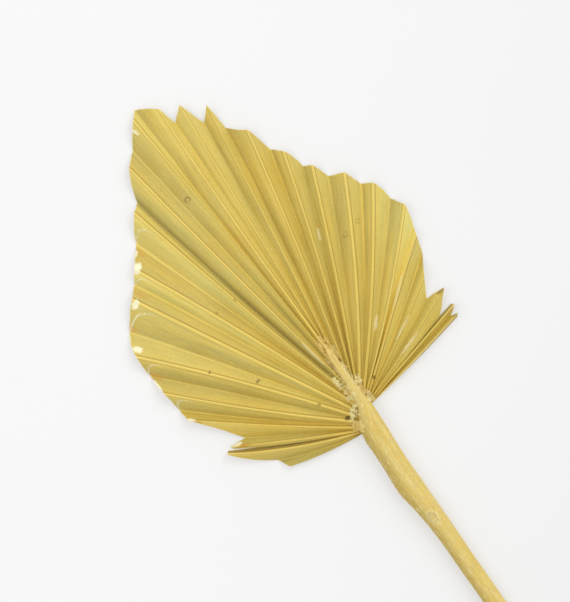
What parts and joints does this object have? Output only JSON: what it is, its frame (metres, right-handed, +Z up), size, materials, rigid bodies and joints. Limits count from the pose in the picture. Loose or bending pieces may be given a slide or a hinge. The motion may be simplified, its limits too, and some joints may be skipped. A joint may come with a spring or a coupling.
{
  "type": "fan palm leaf",
  "caption": "Dried fan palm leaf cut to a spear shape: a pleated golden blade that fans out from its straight stalk, lying flat with its underside up.",
  "frame": {"origin": "on the surface that the leaf lies on, under the middle of its box", "axes": "+Y runs along the leaf from the cut end of the stalk to the blade's tip, +X is to the right seen from above, +Z is up"},
  "size_m": [0.138, 0.404, 0.0085],
  "materials": {
    "dry_blade": "dried palm blade, satin, finely striated along the pleats",
    "dry_stalk": "dried palm stalk, satin, with long fibres and a few scars"
  },
  "bodies": {
    "root": {"leaf_blade": "dry_blade", "leaf_stalk": "dry_stalk"}
  },
  "joints": []
}
